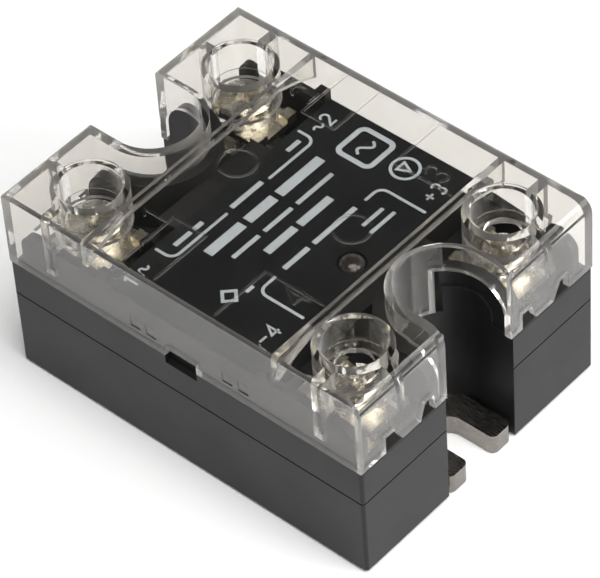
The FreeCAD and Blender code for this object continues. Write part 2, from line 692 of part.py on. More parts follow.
def make_marks():
    """Raised lines on the panel: terminal numerals, frames and two rings."""
    shapes = []
    for digit, (x_middle, y_middle) in NUMERAL_SPOTS.items():
        for path in numeral_paths(digit):
            spots = [(x_middle - (v - 0.5) * NUMERAL_HEIGHT, y_middle + u * NUMERAL_HEIGHT)
                     for u, v in path]
            for start, end in zip(spots, spots[1:]):
                shapes.append(stroke(start, end))
    edge = number("width / 2 - margin")
    inner = number("frame_y")
    for side_y in (-1, 1):
        for x_low, x_high in (OUTPUT_FRAME, (INPUT_FRAME, number("beam_near"))):
            corner_a = (x_low, side_y * edge)
            corner_b = (x_low, side_y * inner)
            corner_c = (x_high, side_y * inner)
            shapes.append(stroke(corner_a, corner_b))
            shapes.append(stroke(corner_b, corner_c))
            if x_low < 0:
                shapes.append(stroke(corner_c, (x_high, side_y * edge)))
    low = number("panel_top - overlap")
    tall = number("height") - low
    radius = number("ring_radius")
    for side_x in (-1, 1):
        place = FreeCAD.Vector(side_x * number("ring_x"), 0, low)
        disc = Part.makeCylinder(radius, tall, place)
        shapes.append(disc.cut(Part.makeCylinder(radius - NUMERAL_WIDTH, tall, place)))
    marks = doc.addObject("Part::Feature", "panel_marks")
    marks.Shape = shapes[0].fuse(shapes[1:])
    return marks


def make_skirt_squares():
    """Shallow squares pressed into the long skirts beside the pry notches."""
    tools = []
    for side_y in (-1, 1):
        for index, x_low in enumerate(SQUARE_STARTS):
            tools.append(box(f"square_{'mp'[side_y > 0]}{index}",
                             (x_low, f"{x_low} + square_size"),
                             span(side_y, "width / 2 - square_depth", "width"),
                             ("square_bottom", "square_bottom + square_size")))
    return tools


def make_cover():
    """Clear snap-on cover."""
    solids = [make_shell(), make_marks()]
    tools = []
    for side, word in ((-1, "output"), (1, "input")):
        solids.extend(make_curtain(side, word))
        solids.append(make_beam(side, word))
        tools.append(end_notch(f"cover_notch_{word}", side, "cover_notch", ("0", "height + margin")))
        for side_y in (-1, 1):
            tag = f"{word}_{'mp'[side_y > 0]}"
            solids.extend(make_well(side, side_y, tag))
            tools.extend(make_well_bore(side, side_y, tag))
            tools.extend(make_windows(side, side_y, tag))
    for side_y in (-1, 1):
        tools.append(box(f"cover_pry_{'mp'[side_y > 0]}", both("pry_half"),
                         span(side_y, "width / 2 - cover_wall - margin", "width"),
                         ("0", "pry_top")))
    tools.extend(make_skirt_squares())
    return node("cover", cut("clear_cover", fuse("cover_solid", solids), tools))


# -------------------------------------------------------- terminal hardware

TERMINALS = ((1, -1, -1), (2, -1, 1), (3, 1, 1), (4, 1, -1))


def kind_of(side_x):
    """Load terminals are at the minus end, control terminals at the plus end."""
    return "output" if side_x < 0 else "input"


def make_clamp_plate(index, side_x, side_y):
    """Clamp plate with two raised ears at its inner end and grooves underneath."""
    kind = kind_of(side_x)
    name = f"clamp_plate_{index}"
    level = f"{kind}_clamp_z"
    body = new_body(name)
    flat = sketch_on(body, name + "_flat", height=level)
    y_low = f"{side_y} * terminal_y - clamp_half"
    y_high = f"{side_y} * terminal_y + clamp_half"
    rectangle(flat, span(side_x, "plate_near", "clamp_far"), (y_low, y_high))
    ring(flat, (f"{side_x} * terminal_x", f"{side_y} * terminal_y"),
         f"{kind}_shank + shaft_clearance")
    pad(body, name + "_pad", flat, "clamp_thickness")
    ears = sketch_on(body, name + "_ears", height=f"{level} + clamp_thickness - overlap")
    for low, high in ((y_low, f"{y_low} + ear_width"), (f"{y_high} - ear_width", y_high)):
        rectangle(ears, span(side_x, "plate_near", "plate_near + ear_length"), (low, high))
    pad(body, name + "_ears_pad", ears, "ear_rise + overlap")
    grooves = sketch_on(body, name + "_grooves", height=f"{level} + groove_depth")
    for step in range(GROOVES):
        x_low = f"plate_near + groove_start + {step} * groove_step"
        rectangle(grooves, span(side_x, x_low, x_low + " + groove_width"),
                  (f"{y_low} - margin", f"{y_high} + margin"))
    pocket(body, name + "_grooves_cut", grooves, "groove_depth")
    return node(name, body)


def make_washer(index, side_x, side_y):
    """Captive washer between plate and head."""
    kind = kind_of(side_x)
    name = f"screw_washer_{index}"
    body = new_body(name)
    sketch = sketch_on(body, name + "_sketch", height=f"{kind}_clamp_z + clamp_thickness")
    centre = (f"{side_x} * terminal_x", f"{side_y} * terminal_y")
    ring(sketch, centre, f"{kind}_washer")
    ring(sketch, centre, f"{kind}_shank + shaft_clearance")
    pad(body, name + "_pad", sketch, "washer_thickness")
    return node(name, body)


def make_screw(index, side_x, side_y):
    """Screw turned from one profile, with thread rings, a slot and a short cross recess."""
    kind = kind_of(side_x)
    name = f"terminal_screw_{index}"
    body = new_body(name)
    sketch = sketch_on(body, name + "_profile", plane="XZ_Plane")
    seat = f"{kind}_clamp_z + clamp_thickness + washer_thickness"
    top = f"{seat} + {kind}_head_height"
    crest = f"{kind}_shank"
    root = f"{kind}_shank - thread_depth"
    corners = [("0", top), (f"{kind}_head - head_bevel", top),
               (f"{kind}_head", f"{top} - head_bevel"), (f"{kind}_head", seat), (crest, seat)]
    turns = int(number(f"({seat} - 2 * margin - thread_end) / {kind}_pitch"))
    for turn in range(turns, 0, -1):
        level = f"thread_end + thread_tip + {turn} * {kind}_pitch"
        corners.append((crest, level))
        for radius, share in ((root, ROOT_START), (root, ROOT_END), (crest, CREST_START)):
            corners.append((radius, f"{level} - {share} * {kind}_pitch"))
    corners.extend([(crest, "thread_end + thread_tip"),
                    (f"{crest} - thread_tip", "thread_end"), ("0", "thread_end")])
    outline(sketch, corners)
    revolve(body, name + "_turned", sketch)
    driver = sketch_on(body, name + "_slot", height=top)
    rectangle(driver, both(f"{kind}_head + margin"), both("slot_width / 2"))
    pocket(body, name + "_slot_cut", driver, "slot_depth")
    cross = sketch_on(body, name + "_cross", height=top)
    rectangle(cross, both("cross_width / 2"), both("cross_half"))
    pocket(body, name + "_cross_cut", cross, "cross_depth")
    turn = FreeCAD.Rotation(FreeCAD.Vector(0, 0, 1), SCREW_STEP * index)
    body.Placement = FreeCAD.Placement(FreeCAD.Vector(0, 0, 0), turn)
    body.setExpression("Placement.Base.x", bound(f"{side_x} * terminal_x"))
    body.setExpression("Placement.Base.y", bound(f"{side_y} * terminal_y"))
    return node(name, body)


def make_nuts(kind, side_x):
    """Two square nuts under the bars of one end."""
    solids = []
    for side_y in (-1, 1):
        axis = (f"{side_x} * terminal_x", f"{side_y} * terminal_y")
        tag = f"{kind}_{'mp'[side_y > 0]}"
        block = box(f"nut_block_{tag}",
                    (f"{axis[0]} - {kind}_nut / 2", f"{axis[0]} + {kind}_nut / 2"),
                    (f"{axis[1]} - {kind}_nut / 2", f"{axis[1]} + {kind}_nut / 2"),
                    ("pocket_floor - nut_height", "pocket_floor"))
        bore = cylinder(f"nut_bore_{tag}", axis, f"{kind}_shank + shaft_clearance",
                        ("pocket_floor - nut_height - margin", "pocket_floor + margin"))
        solids.append(cut(f"nut_{tag}", block, [bore]))
    group = doc.addObject("Part::Compound", f"{kind}_nut_group")
    group.Links = solids
    return node(f"{kind}_nuts", group)


def bar_top(name, kind, side_x, side_y, inner):
    """Flat of a bar on the pocket floor, drilled for the screw."""
    flat = box(name + "_flat", span(side_x, inner, "bar_end"),
               span(side_y, "terminal_y - bar_half", "terminal_y + bar_half"),
               ("pocket_floor", "pocket_floor + bar_thickness"))
    bore = cylinder(name + "_bore", (f"{side_x} * terminal_x", f"{side_y} * terminal_y"),
                    f"{kind}_shank + shaft_clearance",
                    ("pocket_floor - margin", "pocket_floor + bar_thickness + margin"))
    return flat, bore


def make_output_bar(index, side_y):
    """Bar from a copper area of the tile up to a load terminal."""
    name = f"output_bar_{index}"
    copper_top = "plate_thickness + tile_thickness + copper"
    flat, bore = bar_top(name, "output", -1, side_y, "riser_x - bar_thickness")
    riser = box(name + "_riser", ("-riser_x", "-riser_x + bar_thickness"),
                span(side_y, "riser_far_y - riser_width", "riser_far_y"),
                (copper_top, "pocket_floor + bar_thickness"))
    foot = box(name + "_foot", ("-riser_x", "-foot_end"),
               span(side_y, "foot_near_y", "riser_far_y"),
               (copper_top, f"{copper_top} + bar_thickness"))
    return node(name, cut(name + "_drilled", fuse(name + "_solid", [flat, riser, foot]), [bore]))


def make_input_bar(index, side_y):
    """Bar from the board to a control terminal."""
    name = f"input_bar_{index}"
    flat, bore = bar_top(name, "input", 1, side_y, "tail_start")
    pin = box(name + "_pin", ("tail_low_x", "tail_high_x"),
              span(side_y, "tail_near_y", "tail_far_y"),
              ("pocket_floor", "pin_top"))
    return node(name, cut(name + "_drilled", fuse(name + "_solid", [flat, pin]), [bore]))


# ------------------------------------------------------------------- inside

def make_group(name, solids):
    """Separate solids that share one node."""
    group = doc.addObject("Part::Compound", name + "_group")
    group.Links = solids
    return node(name, group)


def make_power_stage():
    """Ceramic tile, copper areas, chips and straps."""
    tile_top = "plate_thickness + tile_thickness"
    pad_top = f"{tile_top} + copper"
    chip_top = f"{pad_top} + chip_thickness"
    tile = node("ceramic_substrate",
                plate_body("ceramic_substrate", (both("tile_half_x"), both("tile_half_y")),
                           "plate_thickness", "tile_thickness"))
    areas = []
    parts = [tile]
    for side_y, tag in ((-1, "m"), (1, "p")):
        areas.append(box(f"area_{tag}", ("pad_low_x", "pad_high_x"),
                         span(side_y, "pad_near_y", "pad_far_y"), (tile_top, pad_top)))
        areas.append(box(f"gate_{tag}", ("gate_low_x", "gate_high_x"),
                         span(side_y, "gate_near_y", "gate_far_y"), (tile_top, pad_top)))
    parts.append(make_group("copper_pads", areas))
    straps = []
    for index, side_y in ((1, -1), (2, 1)):
        chip = plate_body(f"thyristor_{index}",
                          (("chip_low_x", "chip_high_x"),
                           span(side_y, "chip_near_y", "chip_far_y")), pad_top, "chip_thickness")
        parts.append(node(f"thyristor_{index}", chip))
        x_low = "chip_low_x + strap_inset" if side_y < 0 else \
            "chip_high_x - strap_inset - strap_width"
        straps.append(make_strap(index, side_y, x_low, pad_top, chip_top))
    parts.append(make_group("chip_straps", straps))
    return parts


def make_strap(index, side_y, x_low, pad_top, chip_top):
    """Bent strap from the top of one chip to the other chip's copper area."""
    name = f"strap_{index}"
    body = new_body(name)
    sketch = sketch_on(body, name + "_sketch", plane="YZ_Plane", height=x_low)
    flip = f"{side_y} * "
    thick = "strap_thickness"
    corners = [("strap_outer", chip_top), ("strap_inner", chip_top),
               ("strap_inner", f"strap_top - {thick}"),
               (f"-(strap_drop + {thick})", f"strap_top - {thick}"),
               (f"-(strap_drop + {thick})", pad_top),
               ("-strap_toe", pad_top), ("-strap_toe", f"{pad_top} + {thick}"),
               (f"-(strap_drop + 2 * {thick})", f"{pad_top} + {thick}"),
               (f"-(strap_drop + 2 * {thick})", "strap_top"),
               (f"strap_inner + {thick}", "strap_top"),
               (f"strap_inner + {thick}", f"{chip_top} + {thick}"),
               ("strap_outer", f"{chip_top} + {thick}")]
    outline(sketch, [(f"{flip}({y})", z) for y, z in corners])
    pad(body, name + "_pad", sketch, "strap_width")
    return body


def make_board():
    """Control board with holes for the pins and for the lamp's legs."""
    holes = [((x, f"{side} * {y}"), "pin_radius + pin_gap")
             for x, y in PIN_SPOTS for side in (-1, 1)]
    holes.extend(((f"lamp_x + {side} * lamp_leg_shift", "0"), "lamp_leg_hole")
                 for side in (-1, 1))
    blank = plate_body("board_blank", (both("board_half_x"), both("board_half_y")),
                       "board_under", "board_top - board_under", holes)
    slots = [box(f"board_slot_{'mp'[side > 0]}", ("tail_low_x - pin_gap", "tail_high_x + pin_gap"),
                 span(side, "tail_near_y - pin_gap", "tail_far_y + pin_gap"),
                 ("board_under - margin", "board_top + margin")) for side in (-1, 1)]
    return node("circuit_board", cut("board_cut", blank, slots))


def make_link_pins():
    """Pins from the tile's copper up through the board."""
    copper_top = "plate_thickness + tile_thickness + copper"
    pins = [cylinder(f"link_pin_{row}_{'mp'[side > 0]}", (x, f"{side} * {y}"), "pin_radius",
                     (copper_top, "pin_top"))
            for row, (x, y) in enumerate(PIN_SPOTS) for side in (-1, 1)]
    return make_group("link_pins", pins)


def make_lamp():
    """Indicator lamp on two legs, its dome just through the platform."""
    body = new_body("led")
    sketch = sketch_on(body, "led_profile", plane="XZ_Plane")
    rise = "(lamp_top - lamp_shoulder)"
    corners = [("0", "lamp_seat"), ("lamp_rim", "lamp_seat"), ("lamp_rim", "lamp_rim_top"),
               ("lamp_radius", "lamp_rim_top"), ("lamp_radius", "lamp_shoulder")]
    for degrees in (15, 30, 45, 60, 75):
        angle = math.radians(degrees)
        corners.append((f"lamp_radius * {math.cos(angle):.4f}",
                        f"lamp_shoulder + {rise} * {math.sin(angle):.4f}"))
    corners.append(("0", "lamp_top"))
    outline(sketch, corners)
    revolve(body, "led_dome", sketch)
    legs = sketch_on(body, "led_legs", height="board_under - lamp_leg_below")
    for side in (-1, 1):
        ring(legs, (f"{side} * lamp_leg_shift", "0"), "lamp_leg_radius")
    pad(body, "led_legs_pad", legs, "lamp_seat + overlap - board_under + lamp_leg_below")
    body.setExpression("Placement.Base.x", bound("lamp_x"))
    return node("led", body)


def make_chip_package(name, x_range, y_range, height, legs):
    """Moulded package with a row of legs along both sides."""
    low, high = (number(value) for value in x_range)
    pieces = [box(name + "_case", x_range, y_range, ("board_top + case_rise", height))]
    pitch = (high - low) / legs
    for side, edge in ((-1, y_range[0]), (1, y_range[1])):
        start = f"{edge} - leg_reach" if side < 0 else f"{edge} - leg_overlap"
        for leg in range(legs):
            x_middle = low + (leg + 0.5) * pitch
            pieces.append(box(f"{name}_leg_{'mp'[side > 0]}{leg}",
                              (f"{x_middle} - leg_half", f"{x_middle} + leg_half"),
                              (start, f"{start} + leg_reach + leg_overlap"),
                              ("board_top", "board_top + leg_top")))
    return node(name, fuse(name + "_solid", pieces))


def make_resistors():
    """Four small resistors lying on their leads."""
    solids = []
    for index, (x_middle, y_middle) in enumerate(RESISTOR_SPOTS):
        barrel = doc.addObject("Part::Cylinder", f"resistor_{index}")
        barrel.Placement.Rotation = FreeCAD.Rotation(FreeCAD.Vector(1, 0, 0), -90)
        barrel.setExpression("Radius", bound("resistor_radius"))
        barrel.setExpression("Height", bound("2 * resistor_half"))
        barrel.setExpression("Placement.Base.x", str(x_middle))
        barrel.setExpression("Placement.Base.y", bound(f"{y_middle} - resistor_half"))
        barrel.setExpression("Placement.Base.z", bound("board_top + resistor_rise"))
        leads = [box(f"lead_{index}_{'mp'[side > 0]}",
                     (f"{x_middle} - leg_half", f"{x_middle} + leg_half"),
                     (f"{y_middle} + {side} * lead_y - leg_half",
                      f"{y_middle} + {side} * lead_y + leg_half"),
                     ("board_top", "board_top + lead_top")) for side in (-1, 1)]
        solids.append(fuse(f"resistor_solid_{index}", [barrel, *leads]))
    return make_group("resistors", solids)


def make_potting(parts):
    """Resin over the tile and chips, cut round everything that stands in it."""
    block = box("resin_block", both("room_half_x"), both("room_half_y"),
                ("plate_thickness", "resin_top"))
    return node("potting_compound", cut("resin", block, parts))


def make_label():
    """Printed sheet on the platform with a hole for the lamp."""
    body = plate_body("label", (both("label_half_x"), both("label_half_y")), "platform_top",
                      "label_thickness", [(("lamp_x", "0"), "lamp_hole")])
    return node("label", body)


# ----------------------------------------------------------------- assembly

def check_document():
    """Stop if any object failed or any sub-part is not sound."""
    for item in doc.Objects:
        if "Invalid" in item.State or "Error" in item.State:
            raise RuntimeError(f"{item.Name} failed: {item.State}")
    for name, piece in nodes:
        if piece.Shape.isNull() or not piece.Shape.isValid():
            raise RuntimeError(f"{name} has no valid shape")


def write_parts():
    """Write one STEP file for each sub-part."""
    os.makedirs("parts", exist_ok=True)
    for name, piece in nodes:
        piece.Shape.exportStep(f"parts/{name}.step")
        print(f"{name}: {len(piece.Shape.Solids)} solids, {piece.Shape.Volume:.1f} mm3")


dims = make_sheet()
make_baseplate()
make_housing()
make_cover()
make_label()
for terminal in TERMINALS:
    make_clamp_plate(*terminal)
    make_washer(*terminal)
    make_screw(*terminal)
make_nuts("output", -1)
make_nuts("input", 1)
output_bars = [make_output_bar(1, -1), make_output_bar(2, 1)]
make_input_bar(3, 1)
make_input_bar(4, -1)
stage = make_power_stage()
pins = make_link_pins()
make_potting([*stage, *output_bars, pins])
make_board()
make_lamp()
make_chip_package("optocoupler", ("-1.8", "7.2"), ("-10.0", "-3.6"), "board_top + opto_height", 3)
make_chip_package("driver_chip", ("-1.5", "6.5"), ("4.5", "9.5"), "board_top + driver_height", 4)
make_resistors()
make_group("capacitor", [box("capacitor_case", ("-3.0", "7.0"), ("12.5", "16.0"),
                             ("board_top", "board_top + capacitor_height"))])
doc.recompute()
check_document()
write_parts()
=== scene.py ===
from collections import namedtuple
import math

import bmesh
import bpy
from mathutils import Matrix, Vector


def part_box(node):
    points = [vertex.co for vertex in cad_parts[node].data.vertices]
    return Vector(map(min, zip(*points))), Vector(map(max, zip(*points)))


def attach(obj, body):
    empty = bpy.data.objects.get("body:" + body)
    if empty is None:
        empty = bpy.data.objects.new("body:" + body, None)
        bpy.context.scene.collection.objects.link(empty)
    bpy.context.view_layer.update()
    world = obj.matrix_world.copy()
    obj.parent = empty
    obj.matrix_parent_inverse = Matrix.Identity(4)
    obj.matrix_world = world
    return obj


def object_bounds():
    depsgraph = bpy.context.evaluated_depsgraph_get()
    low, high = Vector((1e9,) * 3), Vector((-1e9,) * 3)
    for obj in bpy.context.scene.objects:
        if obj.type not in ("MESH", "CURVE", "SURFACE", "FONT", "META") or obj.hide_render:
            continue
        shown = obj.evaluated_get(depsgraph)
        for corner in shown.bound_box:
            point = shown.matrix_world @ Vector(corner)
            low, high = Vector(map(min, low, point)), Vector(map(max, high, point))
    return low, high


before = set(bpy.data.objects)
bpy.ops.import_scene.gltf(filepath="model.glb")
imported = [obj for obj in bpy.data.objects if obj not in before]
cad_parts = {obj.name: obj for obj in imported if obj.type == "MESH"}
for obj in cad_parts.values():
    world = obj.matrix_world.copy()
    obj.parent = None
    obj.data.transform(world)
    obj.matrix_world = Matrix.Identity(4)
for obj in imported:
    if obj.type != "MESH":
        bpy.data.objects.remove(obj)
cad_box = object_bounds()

MM = 0.001

# The camera turns about a point inside the relay. Angles are in degrees, the lens in mm.
AZIMUTH = 44.167
ELEVATION = 45.737
ROLL = -4.291
DISTANCE = 506.3 * MM
AIM = Vector((-1.086, 0.863, 12.0)) * MM
LENS = 239.3
SENSOR_WIDTH = 36.0
FARTHEST_SEEN = 10.0

# Colour sockets of the Mix node, whose names are shared by its other data types.
MIX_FIRST, MIX_SECOND, MIX_RESULT = 6, 7, 2

# How deep the fine relief of a surface goes.
GRAIN_DEPTH = 0.03 * MM
DRAWN_LINE_DEPTH = 0.01 * MM
FLOW_LINE_DEPTH = 0.1 * MM

SILVER_INK = (0.31, 0.34, 0.37, 1)


# ------------------------------------------------------------------------------------ shader nodes

def new_material(name):
    """Material with a bare Principled shader; returns the material, its node tree and the shader."""
    material = bpy.data.materials.new(name)
    material.use_nodes = True
    tree = material.node_tree
    return material, tree, tree.nodes["Principled BSDF"]


def add(tree, kind, **values):
    """Node with its inputs or properties set."""
    node = tree.nodes.new(kind)
    for key, value in values.items():
        if key in node.inputs:
            node.inputs[key].default_value = value
        else:
            setattr(node, key, value)
    return node


def object_space(tree, stretch=(1, 1, 1)):
    """Object coordinates, stretched."""
    coordinates = add(tree, "ShaderNodeTexCoord")
    mapping = add(tree, "ShaderNodeMapping")
    mapping.inputs["Scale"].default_value = stretch
    tree.links.new(coordinates.outputs["Object"], mapping.inputs["Vector"])
    return mapping.outputs["Vector"]


def noise(tree, vector, scale, detail=3.0, roughness=0.5):
    """Noise value over a vector."""
    node = add(tree, "ShaderNodeTexNoise", Scale=scale, Detail=detail, Roughness=roughness)
    tree.links.new(vector, node.inputs["Vector"])
    return node.outputs["Fac"]


def stains(tree, scale):
    """Cloudy value that mottles a colour."""
    return noise(tree, object_space(tree), scale, 4.0, 0.6)


def spread(tree, source, low, high, source_low=0.3, source_high=0.7, fade="LINEAR"):
    """Map a value from one range to another; the default is where most noise lies."""
    node = add(tree, "ShaderNodeMapRange", interpolation_type=fade)
    node.inputs["From Min"].default_value = source_low
    node.inputs["From Max"].default_value = source_high
    node.inputs["To Min"].default_value = low
    node.inputs["To Max"].default_value = high
    tree.links.new(source, node.inputs["Value"])
    return node.outputs["Result"]


def blend_colour(tree, factor, first, second):
    """Colour between two by a factor."""
    node = add(tree, "ShaderNodeMix", data_type="RGBA")
    node.inputs[MIX_FIRST].default_value = first
    node.inputs[MIX_SECOND].default_value = second
    tree.links.new(factor, node.inputs["Factor"])
    return node.outputs[MIX_RESULT]


def mix_shaders(tree, factor, first, second):
    """Node that goes from one shader to another by a factor."""
    node = add(tree, "ShaderNodeMixShader")
    tree.links.new(factor, node.inputs["Fac"])
    tree.links.new(first.outputs[0], node.inputs[1])
    tree.links.new(second.outputs[0], node.inputs[2])
    return node


def bump(tree, height, shader, strength, distance):
    """Bump from a height value."""
    node = add(tree, "ShaderNodeBump", Strength=strength, Distance=distance)
    tree.links.new(height, node.inputs["Height"])
    tree.links.new(node.outputs["Normal"], shader.inputs["Normal"])


def moulded(name, dark, light, roughness, grain=9000.0, relief=0.25, shine=0.5):
    """Moulded plastic: slight mottling, uneven gloss and a fine spark-eroded grain."""
    material, tree, shader = new_material(name)
    cloud = stains(tree, 120.0)
    colour = blend_colour(tree, spread(tree, cloud, 0.0, 1.0), dark, light)
    tree.links.new(colour, shader.inputs["Base Color"])
    tree.links.new(spread(tree, cloud, *roughness), shader.inputs["Roughness"])
    shader.inputs["Specular IOR Level"].default_value = shine
    bump(tree, noise(tree, object_space(tree), grain, 2.0), shader, relief, GRAIN_DEPTH)
    return material


def metal(name, dark, light, roughness, stretch=(1, 1, 1), scale=900.0):
    """Plated or brushed metal with stains and drawn lines."""
    material, tree, shader = new_material(name)
    shader.inputs["Metallic"].default_value = 1.0
    colour = blend_colour(tree, spread(tree, stains(tree, 260.0), 0.0, 1.0), dark, light)
    tree.links.new(colour, shader.inputs["Base Color"])
    lines = noise(tree, object_space(tree, stretch), scale, 3.0)
    tree.links.new(spread(tree, lines, *roughness), shader.inputs["Roughness"])
    bump(tree, lines, shader, 0.12, DRAWN_LINE_DEPTH)
    return material


# --------------------------------------------------------------------------------------- materials

def nickel_plate():
    """Bright nickel of the screws and washers."""
    return metal("nickel_plate", dark=(0.62, 0.59, 0.52, 1), light=(0.82, 0.8, 0.74, 1),
                 roughness=(0.16, 0.34))


def plate_aluminium():
    """Plate with long lines from rolling; its colour is kept far darker than bare aluminium, painted
    shade of the notches and of dark reflections.
    """
    # These dark colours paint in shade: bare aluminium is much lighter.
    return metal("plate_aluminium", dark=(0.20, 0.185, 0.17, 1), light=(0.30, 0.275, 0.25, 1),
                 roughness=(0.2, 0.34), stretch=(1, 12, 12), scale=500.0)


def moulded_black():
    """Deep black of the housing."""
    return moulded("moulded_black", dark=(0.0065, 0.0065, 0.007, 1), light=(0.0105, 0.0105, 0.011, 1),
                   roughness=(0.33, 0.46), shine=0.28)


def label_film():
    """Black film of the label, a little smoother than the housing."""
    return moulded("label_film", dark=(0.004, 0.0045, 0.005, 1), light=(0.006, 0.0065, 0.007, 1),
                   roughness=(0.32, 0.42), grain=4000.0, relief=0.1, shine=0.25)


def clear_plastic():
    """Clear polycarbonate that lets lamps through, with a painted sheen of pale diffuse where it is
    seen edge on.
    """
    material, tree, shader = new_material("clear_polycarbonate")
    shader.inputs["Base Color"].default_value = (0.90, 0.885, 0.855, 1)
    shader.inputs["Transmission Weight"].default_value = 1.0
    # The index is given here. That of solid polycarbonate is 1.58.
    shader.inputs["IOR"].default_value = 1.36
    shader.inputs["Roughness"].default_value = 0.03
    flow = noise(tree, object_space(tree, (1, 1, 2.5)), 140.0, 2.0)
    bump(tree, flow, shader, 0.03, FLOW_LINE_DEPTH)
    # A pale diffuse layer where the surface is seen edge on: painted sheen that brightens the skirts
    # in place of real reflections.
    painted_sheen = add(tree, "ShaderNodeBsdfDiffuse", Color=(0.62, 0.61, 0.60, 1))
    slant = add(tree, "ShaderNodeLayerWeight", Blend=0.5)
    edge_on = spread(tree, slant.outputs["Facing"], low=0.0, high=0.29,
                     source_low=0.32, source_high=0.95)
    sheened = mix_shaders(tree, edge_on, shader, painted_sheen)
    through = add(tree, "ShaderNodeBsdfTransparent", Color=(0.88, 0.87, 0.85, 1))
    path = add(tree, "ShaderNodeLightPath")
    surface = mix_shaders(tree, path.outputs["Is Shadow Ray"], sheened, through)
    tree.links.new(surface.outputs["Shader"], tree.nodes["Material Output"].inputs["Surface"])
    return material


def lamp_lens():
    """Dim tinted epoxy of an unlit lamp."""
    material, tree, shader = new_material("lamp_epoxy")
    shader.inputs["Roughness"].default_value = 0.12
    shader.inputs["Coat Weight"].default_value = 0.2
    cloud = noise(tree, object_space(tree), 400.0)
    colour = blend_colour(tree, cloud, (0.010, 0.009, 0.009, 1), (0.026, 0.022, 0.020, 1))
    tree.links.new(colour, shader.inputs["Base Color"])
    return material


def clamp_nickel():
    """Warmer nickel of the clamp plates, bars and nuts."""
    return metal("clamp_nickel", dark=(0.60, 0.55, 0.45, 1), light=(0.84, 0.79, 0.68, 1),
                 roughness=(0.16, 0.3), stretch=(1, 4, 1), scale=300.0)


def bare_copper():
    """Copper of the pads, straps and pins."""
    return metal("bare_copper", dark=(0.6, 0.3, 0.18, 1), light=(0.82, 0.48, 0.32, 1),
                 roughness=(0.25, 0.45))


def alumina():
    """White ceramic of the substrate."""
    return moulded("alumina", dark=(0.78, 0.77, 0.74, 1), light=(0.86, 0.85, 0.82, 1),
                   roughness=(0.5, 0.7))


def silicon():
    """Dark blue-grey of the power chips."""
    return moulded("silicon", dark=(0.10, 0.10, 0.13, 1), light=(0.16, 0.16, 0.19, 1),
                   roughness=(0.1, 0.2))


def resin():
    """Dark potting resin over the chips."""
    return moulded("resin", dark=(0.03, 0.03, 0.033, 1), light=(0.05, 0.05, 0.055, 1),
                   roughness=(0.2, 0.35))


def board_mask():
    """Green solder mask of the circuit board."""
    return moulded("board_mask", dark=(0.02, 0.11, 0.05, 1), light=(0.03, 0.15, 0.07, 1),
                   roughness=(0.25, 0.4))


def package_epoxy():
    """Black epoxy of the coupler and the driver chip."""
    return moulded("package_epoxy", dark=(0.02, 0.02, 0.02, 1), light=(0.03, 0.03, 0.03, 1),
                   roughness=(0.5, 0.65))


def resistor_lacquer():
    """Tan lacquer of the resistors."""
    return moulded("resistor_lacquer", dark=(0.42, 0.3, 0.18, 1), light=(0.55, 0.4, 0.25, 1),
                   roughness=(0.3, 0.45))


def capacitor_coat():
    """Blue coat of the film capacitor."""
    return moulded("capacitor_coat", dark=(0.03, 0.08, 0.24, 1), light=(0.05, 0.12, 0.32, 1),
                   roughness=(0.25, 0.4))


def silver_ink():
    """Screen-printed silver grey ink, slightly uneven at the dots of the screen."""
    material, tree, shader = new_material("silver_ink")
    shader.inputs["Roughness"].default_value = 0.5
    dots = spread(tree, noise(tree, object_space(tree), 6000.0, 1.0), 0.0, 1.0)
    thin = tuple(0.8 * value for value in SILVER_INK[:3]) + (1,)
    tree.links.new(blend_colour(tree, dots, thin, SILVER_INK), shader.inputs["Base Color"])
    return material


MATERIALS = {
    "nickel": nickel_plate, "aluminium": plate_aluminium, "black": moulded_black,
    "film": label_film, "clear": clear_plastic, "lens": lamp_lens, "clamp": clamp_nickel,
    "copper": bare_copper, "alumina": alumina, "silicon": silicon, "resin": resin,
    "board": board_mask, "package": package_epoxy, "resistor": resistor_lacquer,
    "capacitor": capacitor_coat, "ink": silver_ink,
}


def make_materials():
    """Every material by its short name."""
    return {name: make() for name, make in MATERIALS.items()}


NODE_MATERIALS = {
    "baseplate": "aluminium", "housing": "black", "cover": "clear", "label": "film",
    "led": "lens", "ceramic_substrate": "alumina", "copper_pads": "copper",
    "chip_straps": "copper", "link_pins": "copper", "thyristor_1": "silicon",
    "thyristor_2": "silicon", "potting_compound": "resin", "circuit_board": "board",
    "optocoupler": "package", "driver_chip": "package", "resistors": "resistor",
    "capacitor": "capacitor",
}


def dress_nodes(materials):
    """Give every CAD node its material: the table's, or the plating of the terminal metal."""
    for name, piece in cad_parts.items():
        if name in NODE_MATERIALS:
            chosen = materials[NODE_MATERIALS[name]]
        elif name.startswith(("terminal_screw", "screw_washer")):
            chosen = materials["nickel"]
        else:
            chosen = materials["clamp"]
        piece.data.materials.clear()
        piece.data.materials.append(chosen)


# ------------------------------------------------------------------------------- outlines of print

# A line of even width in the label's plane; a closed one joins its ends.
Stroke = namedtuple("Stroke", "path width closed", defaults=(False,))


def arc(centre, radius, start, end, steps=8):
    """Points along an arc, angles in degrees."""
    return [(centre[0] + radius * math.cos(math.radians(start + (end - start) * step / steps)),
             centre[1] + radius * math.sin(math.radians(start + (end - start) * step / steps)))
            for step in range(steps + 1)]


def ring(centre, radius, steps=32):
    """Points round a circle."""
    return arc(centre, radius, 0, 360, steps)[:-1]


def rounded_square(centre, half, radius):
    """Outline of a square with round corners."""
    x_middle, y_middle = centre
    inner = half - radius
    points = []
    for quarter, (side_x, side_y) in enumerate(((1, 1), (-1, 1), (-1, -1), (1, -1))):
        corner = (x_middle + side_x * inner, y_middle + side_y * inner)
        points.extend(arc(corner, radius, 90 * quarter, 90 * quarter + 90, 5))
    return points


def wave_points(centre, reach=1.5, swing=0.7, steps=16):
    """One period of a sine wave along Y."""
    x_middle, y_middle = centre
    return [(x_middle - swing * math.sin(2 * math.pi * step / steps),
             y_middle + reach * (2 * step / steps - 1)) for step in range(steps + 1)]


